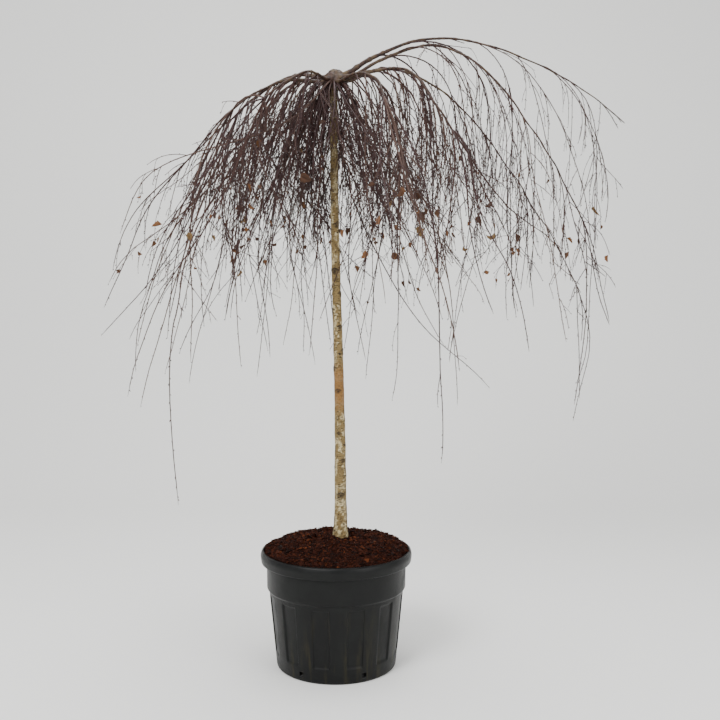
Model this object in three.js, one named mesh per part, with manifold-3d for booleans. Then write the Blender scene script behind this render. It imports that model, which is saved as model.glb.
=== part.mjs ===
// A weeping birch grafted on a two-metre stem, growing in a nursery pot.
// Millimetres, +Z up. The origin is the middle of the pot's flat underside.
// Azimuths run anticlockwise seen from above, from +X (the tree's right) to +Y (its back).
import * as THREE from "three";
import Module from "manifold-3d";
import { mergeVertices } from "three/addons/utils/BufferGeometryUtils.js";

const wasm = await Module();
wasm.setup();

// ---- driving dimensions ----
const GAP = 0.4; // between solids that rest against each other

const POT = {
  height: 500,
  baseRadius: 256, // underside, where the wall meets the floor
  shoulderRadius: 289, // top of the panelled wall
  shoulderZ: 338,
  collarRadius: 299, // plain band between the panels and the rim
  rimRadius: 325,
  rimDepth: 52, // height of the rolled rim
  wall: 5,
  floor: 6,
  corner: 14, // rounding at the foot
  sides: 48,
};
const PANELS = {
  count: 12, // shallow upright recesses, as wide as the ribs between them
  depth: 5,
  bottomZ: 62,
  topZ: 318,
};
const DRAINS = { count: 6, width: 20, bottomZ: 20, topZ: 42 };

const SOIL = { crown: 555, flatRadius: 42, rimLevel: 492 };

const STEM = {
  foot: new THREE.Vector3(19, 0, SOIL.crown + GAP),
  top: new THREE.Vector3(-8, 0, 2440),
  flareRadius: 34,
  flareHeight: 70,
  footRadius: 27,
  topRadius: 15,
  taper: 1.6, // it slims quickly above the foot and hardly at all near the top
  sway: 4, // how far it strays from a straight line
  rings: 16,
  sides: 12,
};

const HEAD = { height: 90, radius: 44, sides: 12, bands: 9 }; // swollen graft at the stem's top

// Each bough leaves the head at the height `start`, climbs to its apex and droops to `reach`, both
// measured from the head. One with no `endZ` comes down on the crown. Radii: at the head, at the end.
const BOUGHS = [
  { azimuth: 6, start: 2496, apexReach: 470, apexZ: 2672, reach: 1250, endZ: 2325, radii: [13, 1.6] },
  { azimuth: -14, start: 2462, apexReach: 420, apexZ: 2600, reach: 1020, endZ: 1880, radii: [11, 2.2] },
  { azimuth: 24, start: 2464, apexReach: 300, apexZ: 2556, reach: 1225, endZ: 1640, radii: [10, 1.6] },
  { azimuth: -38, start: 2484, apexReach: 290, apexZ: 2492, reach: 600, radii: [12, 4] },
  { azimuth: 52, start: 2494, apexReach: 230, apexZ: 2540, reach: 520, radii: [9, 4] },
  { azimuth: 84, start: 2468, apexReach: 210, apexZ: 2515, reach: 540, radii: [10, 4] },
  { azimuth: 112, start: 2490, apexReach: 230, apexZ: 2540, reach: 560, radii: [10, 4] },
  { azimuth: 142, start: 2466, apexReach: 170, apexZ: 2505, reach: 440, radii: [9, 4] },
  { azimuth: 172, start: 2486, apexReach: 150, apexZ: 2514, reach: 400, radii: [12, 4] },
  { azimuth: 204, start: 2464, apexReach: 150, apexZ: 2472, reach: 440, radii: [12, 4] },
  { azimuth: 238, start: 2474, apexReach: 150, apexZ: 2482, reach: 420, radii: [9, 4] },
  { azimuth: 300, start: 2462, apexReach: 170, apexZ: 2474, reach: 440, radii: [9, 4] },
];
const BOUGH = {
  droop: 1.8, // how late the fall steepens
  taper: 0.35, // how early it slims
  sway: 34, // how far it strays to either side
  clearance: 9, // from the head at one end
  landing: 5, // and from the crown at the other
  rings: 7,
  sides: 7,
};

// The weeping crown in section: distance from the middle and height, from the head to the lowest tips.
const CROWN_SECTION = [
  [88, 2400],
  [250, 2398],
  [430, 2326],
  [620, 2178],
  [800, 1950],
  [930, 1700],
  [1010, 1420],
  [1040, 1110],
  [1030, 830],
];
const CROWN = {
  sectors: 10,
  seam: 0.4, // share of the section where the top masses meet the hanging ones
  gap: 8, // half of the gap between neighbours
  parting: 45, // half of the gap at the front, where the stem shows through
  topThickness: 28,
  sideThickness: 22,
  dip: 14, // how far a mass sinks below the section in its hollows
};
// Share of the section that each hanging mass reaches down to, by sector from +X.
const TAILS = [0.93, 0.86, 0.82, 0.88, 0.9, 0.96, 0.9, 0.88, 0.92, 1.0];
const FRINGE = 0.16; // share of the section between the tips of a hanging mass and its notches

const INNER = {
  sectors: 6,
  topReach: 270,
  bottomReach: 390,
  topZ: 2270,
  bottomZ: 1620,
  thickness: 20,
  fringe: 170,
};

// ---- finishes ----
const finish = (color, roughness) => new THREE.MeshStandardMaterial({ color, roughness, metalness: 0 });
const FINISH = {
  pot: finish(0x232625, 0.5),
  soil: finish(0x2c150c, 0.95),
  stem: finish(0xb7a582, 0.75),
  bough: finish(0x3d2621, 0.7),
  twigs: finish(0x3a2626, 0.85),
};

// ---- helpers ----
const RIGHT = new THREE.Vector3(1, 0, 0);
const UP = new THREE.Vector3(0, 0, 1);
const radians = (degrees) => (degrees * Math.PI) / 180;

// Smooth unevenness between -1 and 1 from two parameters, different for each seed.
function unevenness(seed, u, v) {
  const a = Math.sin(5.1 * u + 3.7 * seed) * Math.cos(4.3 * v + 1.9 * seed);
  const b = Math.sin(9.7 * u - 6.1 * v + 2.3 * seed);
  return 0.65 * a + 0.35 * b;
}

// A closed surface from rows of points: each row is joined to the next, round and round if `looped`.
function gridGeometry(rows, looped) {
  const across = rows[0].length;
  const positions = rows.flat().flatMap((p) => [p.x, p.y, p.z]);
  const index = [];
  for (let i = 0; i + 1 < rows.length; i++) {
    for (let j = 0; j < (looped ? across : across - 1); j++) {
      const k = (j + 1) % across;
      const [a, b, c, d] = [i * across + j, i * across + k, (i + 1) * across + k, (i + 1) * across + j];
      index.push(a, b, c, a, c, d);
    }
  }
  return { positions, index };
}

function toGeometry(positions, index) {
  const geometry = new THREE.BufferGeometry();
  geometry.setAttribute("position", new THREE.Float32BufferAttribute(positions, 3));
  geometry.setIndex(index);
  geometry.computeVertexNormals();
  return geometry;
}

// A round tapering limb with flat ends. Each ring has its middle, its radius and the direction it lies
// square to; `side` is a direction across all of them.
function limbGeometry(rings, sides, side) {
  const rows = rings.map(({ point, radius, along }) => {
    const across = side.clone().projectOnPlane(along).normalize();
    const up = along.clone().cross(across);
    return Array.from({ length: sides }, (_, j) => {
      const turn = (2 * Math.PI * j) / sides;
      return point
        .clone()
        .addScaledVector(across, radius * Math.cos(turn))
        .addScaledVector(up, radius * Math.sin(turn));
    });
  });
  const { positions, index } = gridGeometry(rows, true);
  const last = (rows.length - 1) * sides;
  const first = positions.length / 3;
  positions.push(...rings[0].point.toArray(), ...rings[rings.length - 1].point.toArray());
  for (let j = 0; j < sides; j++) {
    const k = (j + 1) % sides;
    index.push(first, k, j, first + 1, last + j, last + k);
  }
  return toGeometry(positions, index);
}

// A closed mass between an outer and an inner surface, both given as point(u, v) with u and v from 0 to 1.
function massGeometry(outer, inner, columns, lines) {
  const sheet = (point) =>
    Array.from({ length: lines + 1 }, (_, i) =>
      Array.from({ length: columns + 1 }, (_, j) => point(j / columns, i / lines)),
    );
  const front = gridGeometry(sheet(outer), false);
  const back = gridGeometry(sheet(inner), false);
  const offset = front.positions.length / 3;
  const positions = [...front.positions, ...back.positions];
  const index = [...front.index];
  for (let i = 0; i < back.index.length; i += 3) {
    index.push(back.index[i] + offset, back.index[i + 2] + offset, back.index[i + 1] + offset);
  }
  const edge = [];
  for (let j = 0; j < columns; j++) edge.push(j);
  for (let i = 0; i < lines; i++) edge.push(i * (columns + 1) + columns);
  for (let j = columns; j > 0; j--) edge.push(lines * (columns + 1) + j);
  for (let i = lines; i > 0; i--) edge.push(i * (columns + 1));
  edge.forEach((a, n) => {
    const b = edge[(n + 1) % edge.length];
    index.push(a, offset + a, offset + b, a, offset + b, b);
  });
  return toGeometry(positions, index);
}

function toManifold(geometry) {
  const plain = geometry.clone();
  plain.deleteAttribute("normal");
  plain.deleteAttribute("uv");
  const merged = mergeVertices(plain, 1e-4);
  return new wasm.Manifold(
    new wasm.Mesh({
      numProp: 3,
      vertProperties: new Float32Array(merged.attributes.position.array),
      triVerts: new Uint32Array(merged.index.array),
    }),
  );
}

function fromManifold(solid) {
  const { vertProperties, triVerts } = solid.getMesh();
  return toGeometry(Array.from(vertProperties), Array.from(triVerts));
}

// A profile of [radius, height] pairs turned about the Z axis.
function turned(profile, sides) {
  const points = profile.map(([radius, height]) => new THREE.Vector2(radius, height));
  return new THREE.LatheGeometry(points, sides).rotateX(Math.PI / 2);
}

const tree = new THREE.Group();
function add(name, geometry, material) {
  const mesh = new THREE.Mesh(geometry, material);
  mesh.name = name;
  tree.add(mesh);
  return mesh;
}

// ---- pot ----
// Radius of the pot's outer wall at a height, below the collar.
const wallRadius = (z) =>
  THREE.MathUtils.mapLinear(z, 0, POT.shoulderZ, POT.baseRadius, POT.shoulderRadius);

function potShell() {
  const { height, baseRadius, shoulderZ, collarRadius, rimRadius, rimDepth, wall, floor, corner } = POT;
  const rimZ = height - rimDepth;
  const lip = rimRadius - 16; // inner edge of the rim
  return turned(
    [
      [0, 0],
      [baseRadius - corner, 0],
      [baseRadius - 3, 5],
      [wallRadius(corner), corner],
      [wallRadius(shoulderZ - 6), shoulderZ - 6],
      [collarRadius - 3, shoulderZ + 4],
      [collarRadius, rimZ],
      [rimRadius - 6, rimZ],
      [rimRadius, rimZ + 10],
      [rimRadius, height - 14],
      [rimRadius - 6, height - 3],
      [lip + 4, height],
      [lip, height - 4],
      [collarRadius - wall, rimZ - 20],
      [wallRadius(shoulderZ) - wall - PANELS.depth, shoulderZ],
      [wallRadius(floor) - wall - PANELS.depth, floor],
      [0, floor],
    ],
    POT.sides,
  );
}

// Upright wedges, one for each recess, lined up with the flat facets of the pot's wall.
function panelCutters() {
  const pitch = (2 * Math.PI) / PANELS.count;
  const reach = POT.rimRadius * 1.2;
  const height = PANELS.topZ - PANELS.bottomZ;
  const wedges = Array.from({ length: PANELS.count }, (_, k) => {
    const [from, to] = [pitch * k, pitch * (k + 0.5)];
    const shape = new THREE.Shape([
      new THREE.Vector2(0, 0),
      new THREE.Vector2(reach * Math.cos(from), reach * Math.sin(from)),
      new THREE.Vector2(reach * Math.cos(to), reach * Math.sin(to)),
    ]);
    const wedge = new THREE.ExtrudeGeometry(shape, { depth: height, bevelEnabled: false });
    return toManifold(wedge.translate(0, 0, PANELS.bottomZ));
  });
  const ring = toManifold(
    turned(
      [
        [wallRadius(PANELS.bottomZ - 20) - PANELS.depth, PANELS.bottomZ - 20],
        [reach, PANELS.bottomZ - 20],
        [reach, PANELS.topZ + 20],
        [wallRadius(PANELS.topZ + 20) - PANELS.depth, PANELS.topZ + 20],
        [wallRadius(PANELS.bottomZ - 20) - PANELS.depth, PANELS.bottomZ - 20],
      ],
      POT.sides,
    ),
  );
  return wedges.map((wedge) => wedge.intersect(ring));
}

function drainCutters() {
  const { count, width, bottomZ, topZ } = DRAINS;
  return Array.from({ length: count }, (_, k) => {
    const box = new THREE.BoxGeometry(40, width, topZ - bottomZ);
    box.translate(POT.baseRadius, 0, (bottomZ + topZ) / 2);
    return toManifold(box.rotateZ((2 * Math.PI * (k + 0.5)) / count));
  });
}

function buildPot() {
  let shell = toManifold(potShell());
  for (const cutter of [...panelCutters(), ...drainCutters()]) shell = shell.subtract(cutter);
  add("pot", fromManifold(shell), FINISH.pot);
}

// ---- soil ----
// Root ball inside the pot, heaped from the rim up to the foot of the stem.
function buildSoil() {
  const { shoulderZ, collarRadius, rimDepth, height, wall, floor, rimRadius } = POT;
  const inside = (radius) => radius - wall - PANELS.depth - GAP;
  const lip = rimRadius - 19;
  const heap = (share) => [
    lip * (1 - share) + SOIL.flatRadius * share,
    SOIL.rimLevel + (SOIL.crown - SOIL.rimLevel) * Math.sin((share * Math.PI) / 2),
  ];
  const profile = [
    [0, floor + GAP],
    [inside(wallRadius(floor)), floor + GAP],
    [inside(wallRadius(shoulderZ)), shoulderZ + GAP],
    [collarRadius - wall - 2 * GAP, height - rimDepth - 20],
    heap(0),
    heap(0.25),
    heap(0.5),
    heap(0.75),
    heap(1),
    [0, SOIL.crown],
  ];
  add("soil", turned(profile, POT.sides / 2), FINISH.soil);
}

// ---- stem and head ----
function stemPoint(share) {
  const point = STEM.foot.clone().lerp(STEM.top, share);
  point.x += STEM.sway * Math.sin(share * 2 * Math.PI);
  point.y += STEM.sway * Math.sin(share * 3 * Math.PI);
  return point;
}

function stemRadius(share) {
  const height = share * (STEM.top.z - STEM.foot.z);
  const flare = (STEM.flareRadius - STEM.footRadius) * Math.exp(-height / (STEM.flareHeight / 2));
  const slimming = (STEM.footRadius - STEM.topRadius) * (1 - share) ** STEM.taper;
  return STEM.topRadius + slimming + flare;
}

function buildStem() {
  // Rings crowd towards the foot, where the flare bends, and lie level, so the foot is cut flat.
  const rings = Array.from({ length: STEM.rings }, (_, i) => {
    const share = (i / (STEM.rings - 1)) ** 1.6;
    return { point: stemPoint(share), radius: stemRadius(share), along: UP };
  });
  add("stem", limbGeometry(rings, STEM.sides, RIGHT), FINISH.stem);
}

function buildHead() {
  const rings = Array.from({ length: HEAD.bands }, (_, i) => {
    const share = i / (HEAD.bands - 1);
    const point = STEM.top.clone().setZ(STEM.top.z + GAP + HEAD.height * share);
    const swell = Math.sqrt(Math.sin(Math.PI * (0.04 + 0.82 * share)));
    return { point, radius: THREE.MathUtils.lerp(STEM.topRadius, HEAD.radius, swell), along: UP };
  });
  add("graft_head", limbGeometry(rings, HEAD.sides, RIGHT), FINISH.bough);
}

// ---- crown section ----
const section = new THREE.SplineCurve(CROWN_SECTION.map(([r, z]) => new THREE.Vector2(r, z)));

// Height of the crown's surface at a distance from the stem, found by walking down the section.
function crownHeight(reach) {
  let low = 0;
  let high = 1;
  for (let i = 0; i < 30; i++) {
    const middle = (low + high) / 2;
    if (section.getPointAt(middle).x < reach) low = middle;
    else high = middle;
  }
  return section.getPointAt(low).y;
}

// A point of the crown at an azimuth: `share` of the way down the section, `depth` below its surface.
function crownPoint(azimuth, share, depth) {
  const at = section.getPointAt(share);
  const along = section.getTangentAt(share);
  const reach = at.x + along.y * depth;
  const z = at.y - along.x * depth;
  return new THREE.Vector3(reach * Math.cos(azimuth), reach * Math.sin(azimuth), z);
}

// ---- boughs ----
// The middle of a bough at a distance from the head, straying to either side as it goes.
function boughPoint(bough, reach) {
  const azimuth = radians(bough.azimuth);
  const grown = (reach - HEAD.radius) / (bough.reach - HEAD.radius);
  const stray = BOUGH.sway * grown * Math.sin(5.5 * grown + bough.azimuth);
  const point = new THREE.Vector3(reach, stray, 0).applyAxisAngle(UP, azimuth);
  point.x += STEM.top.x;
  if (reach < bough.apexReach) {
    const left = (bough.apexReach - reach) / (bough.apexReach - HEAD.radius);
    point.z = bough.apexZ - (bough.apexZ - bough.start) * left ** 2;
    return point;
  }
  const gone = (reach - bough.apexReach) / (bough.reach - bough.apexReach);
  point.z = bough.apexZ - (bough.apexZ - boughEndZ(bough)) * gone ** BOUGH.droop;
  return point;
}

function boughEndZ(bough) {
  const fromMiddle = bough.reach + STEM.top.x * Math.cos(radians(bough.azimuth));
  return bough.endZ ?? crownHeight(fromMiddle) + bough.radii[1] + BOUGH.landing;
}

// The half of a bough between two distances from the head.
function boughPart(bough, from, to) {
  const rings = Array.from({ length: BOUGH.rings }, (_, i) => {
    const reach = THREE.MathUtils.lerp(from, to, i / (BOUGH.rings - 1));
    const grown = (reach - HEAD.radius) / (bough.reach - HEAD.radius);
    const radius = THREE.MathUtils.lerp(bough.radii[0], bough.radii[1], grown ** BOUGH.taper);
    const along = boughPoint(bough, reach + 1).sub(boughPoint(bough, reach - 1)).normalize();
    return { point: boughPoint(bough, reach), radius, along };
  });
  const side = new THREE.Vector3(0, 1, 0).applyAxisAngle(UP, radians(bough.azimuth));
  return limbGeometry(rings, BOUGH.sides, side);
}

function buildBoughs() {
  BOUGHS.forEach((bough, i) => {
    const name = `bough_${String(i + 1).padStart(2, "0")}`;
    const rise = boughPart(bough, HEAD.radius + BOUGH.clearance, bough.apexReach);
    const fall = boughPart(bough, bough.apexReach + GAP, bough.reach);
    add(`${name}_rise`, rise, FINISH.bough);
    add(`${name}_fall`, fall, FINISH.bough);
  });
}

// ---- masses of twigs ----
// The azimuth a share `u` of the way across sector k of n, less the gaps beside it at this reach.
function sectorAzimuth(k, n, u, reach) {
  const pitch = (2 * Math.PI) / n;
  const front = 1.5 * Math.PI;
  const gapBeside = (edge) => {
    const half = Math.abs(edge - front) < 0.01 ? Math.min(CROWN.parting, 0.3 * reach) : CROWN.gap;
    return half / reach;
  };
  const low = pitch * (k - 0.5);
  const high = pitch * (k + 0.5);
  return THREE.MathUtils.lerp(high - gapBeside(high), low + gapBeside(low), u);
}

// How far down a fringe hangs across a mass: 0 in its notches, up to 1 at its tips.
function fringe(seed, u) {
  const teeth = 0.5 - 0.5 * Math.cos(6 * Math.PI * u);
  return teeth * (0.8 + 0.2 * unevenness(seed, 4 * u, 0));
}

// A crown mass between two shares of the section, thick in its middle and thin at its edges.
function crownMass({ sector, from, to, thickness, lines, seed }) {
  const place = (u, v, inner) => {
    const share = THREE.MathUtils.lerp(from(u), to(u), v);
    const dip = CROWN.dip * (0.5 + 0.5 * unevenness(seed, 3 * u, 3 * v));
    const swell = 0.3 + 0.7 * Math.sin(Math.PI * u) * Math.sin(Math.PI * (0.15 + 0.7 * v));
    const depth = dip + (inner ? thickness * swell : 0);
    return crownPoint(sectorAzimuth(sector, CROWN.sectors, u, section.getPointAt(share).x), share, depth);
  };
  return massGeometry(
    (u, v) => place(u, v, false),
    (u, v) => place(u, v, true),
    6,
    lines,
  );
}

function buildCrown() {
  const gap = CROWN.gap / section.getLength();
  for (let k = 0; k < CROWN.sectors; k++) {
    const number = String(k + 1).padStart(2, "0");
    const seam = (u) => CROWN.seam + 0.02 * unevenness(k, 4 * u, 1);
    const top = crownMass({
      sector: k,
      from: () => 0,
      to: (u) => seam(u) - gap,
      thickness: CROWN.topThickness,
      lines: 4,
      seed: k + 1,
    });
    const side = crownMass({
      sector: k,
      from: (u) => seam(u) + gap,
      to: (u) => TAILS[k] - FRINGE * (1 - fringe(k + 5, u)),
      thickness: CROWN.sideThickness,
      lines: 5,
      seed: k + 21,
    });
    add(`twigs_top_${number}`, top, FINISH.twigs);
    add(`twigs_side_${number}`, side, FINISH.twigs);
  }
}

// Shorter twigs that hang round the stem, under the crown's top.
function buildInnerMasses() {
  for (let k = 0; k < INNER.sectors; k++) {
    const place = (u, v, inner) => {
      const swell = inner ? INNER.thickness * (0.3 + 0.7 * Math.sin(Math.PI * u)) : 0;
      const wave = 12 * unevenness(k + 41, 3 * u, 3 * v);
      const reach = THREE.MathUtils.lerp(INNER.topReach, INNER.bottomReach, v) + wave - swell;
      const azimuth = sectorAzimuth(k, INNER.sectors, u, reach);
      const bottom = INNER.bottomZ + INNER.fringe * (1 - fringe(k + 51, u));
      const z = THREE.MathUtils.lerp(INNER.topZ, bottom, v);
      return new THREE.Vector3(reach * Math.cos(azimuth), reach * Math.sin(azimuth), z);
    };
    const mass = massGeometry(
      (u, v) => place(u, v, false),
      (u, v) => place(u, v, true),
      6,
      3,
    );
    add(`twigs_inner_${String(k + 1).padStart(2, "0")}`, mass, FINISH.twigs);
  }
}

buildPot();
buildSoil();
buildStem();
buildHead();
buildBoughs();
buildCrown();
buildInnerMasses();

export default tree;
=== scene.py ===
"""A weeping birch on a tall stem, in a nursery pot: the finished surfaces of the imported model.

Metres, +Z up, -Y towards the viewer. Limbs follow the middle lines of the frame's own solids. The twigs
grow on from them by a seeded rule: a shoot lengthens step by step, sinks under its weight, and bears
thinner shoots at its sides.
"""

import math

import bpy
import numpy as np
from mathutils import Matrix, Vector


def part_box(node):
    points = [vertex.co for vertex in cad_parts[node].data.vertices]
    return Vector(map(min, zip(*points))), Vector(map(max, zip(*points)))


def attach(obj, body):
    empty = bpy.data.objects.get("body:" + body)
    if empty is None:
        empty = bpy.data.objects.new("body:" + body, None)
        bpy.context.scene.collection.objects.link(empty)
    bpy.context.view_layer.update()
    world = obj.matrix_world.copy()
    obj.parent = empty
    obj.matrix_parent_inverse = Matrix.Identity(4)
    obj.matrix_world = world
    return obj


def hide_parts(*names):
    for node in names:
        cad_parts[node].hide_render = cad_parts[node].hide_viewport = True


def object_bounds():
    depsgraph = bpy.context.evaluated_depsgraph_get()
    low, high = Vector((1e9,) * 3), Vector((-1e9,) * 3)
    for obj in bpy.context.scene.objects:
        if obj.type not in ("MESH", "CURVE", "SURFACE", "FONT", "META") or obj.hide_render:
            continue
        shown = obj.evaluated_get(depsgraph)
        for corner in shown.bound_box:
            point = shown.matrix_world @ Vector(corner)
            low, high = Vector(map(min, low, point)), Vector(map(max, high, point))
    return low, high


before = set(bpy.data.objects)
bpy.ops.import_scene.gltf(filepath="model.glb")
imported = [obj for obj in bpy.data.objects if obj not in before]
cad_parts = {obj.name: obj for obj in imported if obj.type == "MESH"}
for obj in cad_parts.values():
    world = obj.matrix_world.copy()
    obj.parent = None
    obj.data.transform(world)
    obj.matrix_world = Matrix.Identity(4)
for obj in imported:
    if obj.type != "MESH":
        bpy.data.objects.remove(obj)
cad_box = [list(corner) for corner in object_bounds()]

SEED = 11  # every run of random draws and every noise field starts from this plus its own number
UP = np.array([0.0, 0.0, 1.0])
NODES = sorted(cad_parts)


def corners(node):
    """A node's lowest and highest corner."""
    low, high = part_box(node)
    return np.array(low), np.array(high)


POT_LOW, POT_HIGH = corners("pot")
SOIL_HIGH = corners("soil")[1]
STEM_LOW, STEM_HIGH = corners("stem")
HEAD_LOW, HEAD_HIGH = corners("graft_head")
HEAD = (HEAD_LOW + HEAD_HIGH) / 2


# ---- arrays ----
def unit(vectors):
    """Each vector divided by its length."""
    return vectors / np.maximum(np.linalg.norm(vectors, axis=-1, keepdims=True), 1e-12)


def direction(turn, lift=0.0):
    """Unit vectors turned round Z and lifted from level: (cos lift cos turn, cos lift sin turn, sin lift)."""
    level = np.cos(lift)
    return np.stack([level * np.cos(turn), level * np.sin(turn), np.sin(lift) + 0 * turn], axis=-1)


def smooth(t):
    """3t^2 - 2t^3, with t held between 0 and 1."""
    t = np.clip(t, 0, 1)
    return t * t * (3 - 2 * t)


def pulse(x, low, high, edge):
    """1 between low and high, 0 outside, with smooth edges of the given width inside them."""
    return smooth((x - low) / edge) * smooth((high - x) / edge)


# whole numbers that scatter a lattice place, the seed and their mixture
HASH_PLACE = np.array([73856093, 19349663, 83492791])
HASH_SEED = 26544357
HASH_STIR = 1274126177


def noise(points, size, seed):
    """A smooth field from -1 to 1: random values on a lattice of cells of one size, blended by smooth().

    The value at a lattice place is a whole-number hash of the place and the seed."""
    grid = np.asarray(points, float) / size
    cell = np.floor(grid).astype(np.int64)
    t = smooth(grid - cell)
    total = np.zeros(grid.shape[:-1])
    for corner in np.ndindex(2, 2, 2):
        x, y, z = np.moveaxis((cell + np.array(corner)) * HASH_PLACE, -1, 0)
        mix = x ^ y ^ z ^ (seed * HASH_SEED)
        mix = (mix ^ (mix >> 13)) * HASH_STIR
        value = ((mix ^ (mix >> 16)) & 0xFFFF) / 32767.5 - 1  # the last 16 bits, made -1 to 1
        total += np.prod(np.where(corner, t, 1 - t), axis=-1) * value
    return total


def grid_faces(rows, columns, looped):
    """Four-cornered faces of a grid of points, row by row; looped joins the last column to the first."""
    row = np.arange(rows - 1)[:, None]
    column = np.arange(columns if looped else columns - 1)[None, :]
    after = (column + 1) % columns
    a, b = row * columns + column, row * columns + after
    return np.stack([a, b, b + columns, a + columns], axis=-1).reshape(-1, 4)


# ---- meshes ----
def put(name, data):
    """A new object in the scene."""
    thing = bpy.data.objects.new(name, data)
    bpy.context.scene.collection.objects.link(thing)
    return thing


def make_piece(name, points, faces, materials, replaced=(), tints=None, masks=None, flat=False):
    """A piece from points (n, 3) and a list of face arrays (faces, corners).

    tints picks a material for each face. masks are named numbers from 0 to 1 for each point."""
    mesh = bpy.data.meshes.new(name)
    sizes = np.concatenate([np.full(len(f), f.shape[1]) for f in faces])
    loops = np.concatenate([f.ravel() for f in faces])
    mesh.vertices.add(len(points))
    mesh.vertices.foreach_set("co", np.asarray(points, np.float32).ravel())
    mesh.loops.add(len(loops))
    mesh.loops.foreach_set("vertex_index", loops.astype(np.int32))
    mesh.polygons.add(len(sizes))
    mesh.polygons.foreach_set("loop_start", (np.cumsum(sizes) - sizes).astype(np.int32))
    mesh.polygons.foreach_set("use_smooth", np.full(len(sizes), not flat))
    for material in materials:
        mesh.materials.append(material)
    if tints is not None:
        mesh.polygons.foreach_set("material_index", tints.astype(np.int32))
    for mask, values in (masks or {}).items():
        mesh.attributes.new(mask, "FLOAT", "POINT").data.foreach_set("value", values.astype(np.float32))
    mesh.update(calc_edges=True)
    piece = put(name, mesh)
    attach(piece, "root")
    if replaced:
        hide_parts(*replaced)


def repeated(faces, corners, count):
    """The faces of one small shape with so many corners, once for each of `count` such shapes."""
    return (faces + corners * np.arange(count)[:, None, None]).reshape(-1, faces.shape[1])


def closed_rows(rows, start, end):
    """Points and faces of rows (rows, columns, 3), each row a loop, closed by a point at each end."""
    count, columns = rows.shape[:2]
    column = np.arange(columns)
    after = (column + 1) % columns
    last = (count - 1) * columns
    first_fan = np.stack([after, column, 0 * column + count * columns], axis=-1)
    last_fan = np.stack([column + last, after + last, 0 * column + count * columns + 1], axis=-1)
    points = np.concatenate([rows.reshape(-1, 3), [start, end]])
    return points, [grid_faces(count, columns, True), first_fan, last_fan]


ASKEW = (0.31, 0.17, 0.94)  # along no axis, so that the first ring of any shoot can be squared to it


def rings(paths, radii, sides):
    """Rings of points round many paths at once, (shoots, joints, sides, 3).

    A ring is middle + radius (cos a across + sin a over), a going once round. across is carried along the
    path from joint to joint and kept square to it; over is square to both."""
    along = unit(np.gradient(paths, axis=1))
    across = np.empty_like(paths)
    carried = unit(np.cross(along[:, 0], ASKEW))
    for joint in range(paths.shape[1]):
        ahead = along[:, joint]
        carried = unit(carried - np.sum(carried * ahead, axis=-1, keepdims=True) * ahead)
        across[:, joint] = carried
    over = np.cross(along, across)
    turn = (2 * np.pi * np.arange(sides) / sides)[:, None]
    around = np.cos(turn) * across[:, :, None] + np.sin(turn) * over[:, :, None]
    return paths[:, :, None] + radii[:, :, None, None] * around


def tubes(paths, radii, sides):
    """Points and faces of closed round shoots: their walls, their bases and their tips."""
    shoots, joints = radii.shape
    points = rings(paths, radii, sides)
    first = (np.arange(shoots) * joints * sides)[:, None, None]
    walls = (grid_faces(joints, sides, True)[None] + first).reshape(-1, 4)
    base = np.arange(sides)[::-1][None] + first[:, 0]
    tip = np.arange(sides)[None] + (joints - 1) * sides + first[:, 0]
    return points.reshape(-1, 3), [walls, base, tip]


# ---- materials ----
class Graph:
    """Adds nodes to a tree and joins them: an input takes a plain value or another node's output."""

    def __init__(self, tree):
        self.tree = tree

    def add(self, kind, inputs=None, **settings):
        node = self.tree.nodes.new(kind)
        for name, value in settings.items():
            setattr(node, name, value)
        for name, value in (inputs or {}).items():
            self.set(node.inputs[name], value)
        return node

    def set(self, socket, value):
        if isinstance(value, bpy.types.NodeSocket):
            self.tree.links.new(value, socket)
        else:
            socket.default_value = value

    def math(self, operation, a, b, clamp=False):
        return self.add("ShaderNodeMath", {0: a, 1: b}, operation=operation, use_clamp=clamp).outputs[0]

    def plus(self, a, b, clamp=False):
        return self.math("ADD", a, b, clamp)

    def minus(self, a, b):
        return self.math("SUBTRACT", a, b)

    def times(self, a, b):
        return self.math("MULTIPLY", a, b)

    def mix(self, factor, a, b):
        """Colour a where factor is 0 and b where it is 1."""
        node = self.add("ShaderNodeMix", {0: factor, 6: a, 7: b}, data_type="RGBA")
        return node.outputs[2]

    def between(self, value, low, high):
        """0 up to low, 1 from high, and a smooth rise between them."""
        inputs = {"Value": value, "From Min": low, "From Max": high}
        node = self.add("ShaderNodeMapRange", inputs, interpolation_type="SMOOTHSTEP")
        return node.outputs["Result"]

    def place(self):
        """The surface's own coordinates, in metres."""
        return self.add("ShaderNodeTexCoord").outputs["Object"]

    def cloud(self, scale, detail=3.0, rough=0.55, stretch=(1, 1, 1)):
        """Noise from 0 to 1 with about `scale` blotches to the metre, broken up by `detail` finer layers of
        strength `rough`. A stretch over 1 packs it closer along that axis."""
        place = self.add("ShaderNodeMapping", {"Vector": self.place(), "Scale": stretch}).outputs["Vector"]
        inputs = {"Vector": place, "Scale": scale, "Detail": detail, "Roughness": rough}
        return self.add("ShaderNodeTexNoise", inputs).outputs["Fac"]

    def rise(self, low, high):
        """0 up to one height in metres above the floor, 1 from the other."""
        split = self.add("ShaderNodeSeparateXYZ", {"Vector": self.place()})
        return self.between(split.outputs["Z"], low, high)


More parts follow.
